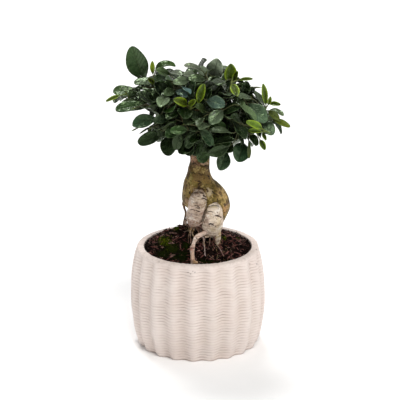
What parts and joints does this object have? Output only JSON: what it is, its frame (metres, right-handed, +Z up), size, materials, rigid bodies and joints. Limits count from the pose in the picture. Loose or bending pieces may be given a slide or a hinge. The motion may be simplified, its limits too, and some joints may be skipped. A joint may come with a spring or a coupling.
{
  "type": "potted ginseng ficus",
  "caption": "Small ficus with a swollen split trunk and a round crown of oval leaves, in a barrel-shaped fluted and corded pot.",
  "frame": {"origin": "centre of the pot's flat underside", "axes": "+Z up, -Y towards the front of the picture, +X to its right"},
  "size_m": [0.2217, 0.1734, 0.3649],
  "materials": {
    "pot_clay": "matte",
    "soil": "rough",
    "bark": "natural",
    "leaf_mature": "satin",
    "leaf_young": "satin"
  },
  "bodies": {
    "root": {"pot": "pot_clay", "soil": "soil", "trunk": "bark", "shoot_01": "leaf_mature", "shoot_02": "leaf_mature", "shoot_03": "leaf_mature", "shoot_04": "leaf_mature", "shoot_05": "leaf_mature", "shoot_06": "leaf_mature", "shoot_07": "leaf_mature", "shoot_08": "leaf_mature", "shoot_09": "leaf_mature", "shoot_10": "leaf_mature", "shoot_11": "leaf_mature", "shoot_12": "leaf_mature", "shoot_13": "leaf_mature", "shoot_14": "leaf_mature", "shoot_15": "leaf_mature", "shoot_16": "leaf_mature", "shoot_17": "leaf_mature", "shoot_18": "leaf_mature", "shoot_19": "leaf_mature", "shoot_20": "leaf_mature", "shoot_21": "leaf_mature", "shoot_22": "leaf_mature", "shoot_23": "leaf_mature", "shoot_24": "leaf_mature", "shoot_25": "leaf_mature", "shoot_26": "leaf_mature", "shoot_27": "leaf_mature", "shoot_28": "leaf_mature", "shoot_29": "leaf_mature", "shoot_30": "leaf_mature", "shoot_31": "leaf_mature", "shoot_32": "leaf_mature", "shoot_33": "leaf_mature", "tip_01": "leaf_young", "tip_02": "leaf_young", "tip_03": "leaf_young", "tip_04": "leaf_young", "tip_05": "leaf_young", "tip_06": "leaf_young", "tip_07": "leaf_young", "tip_08": "leaf_young"}
  },
  "joints": []
}
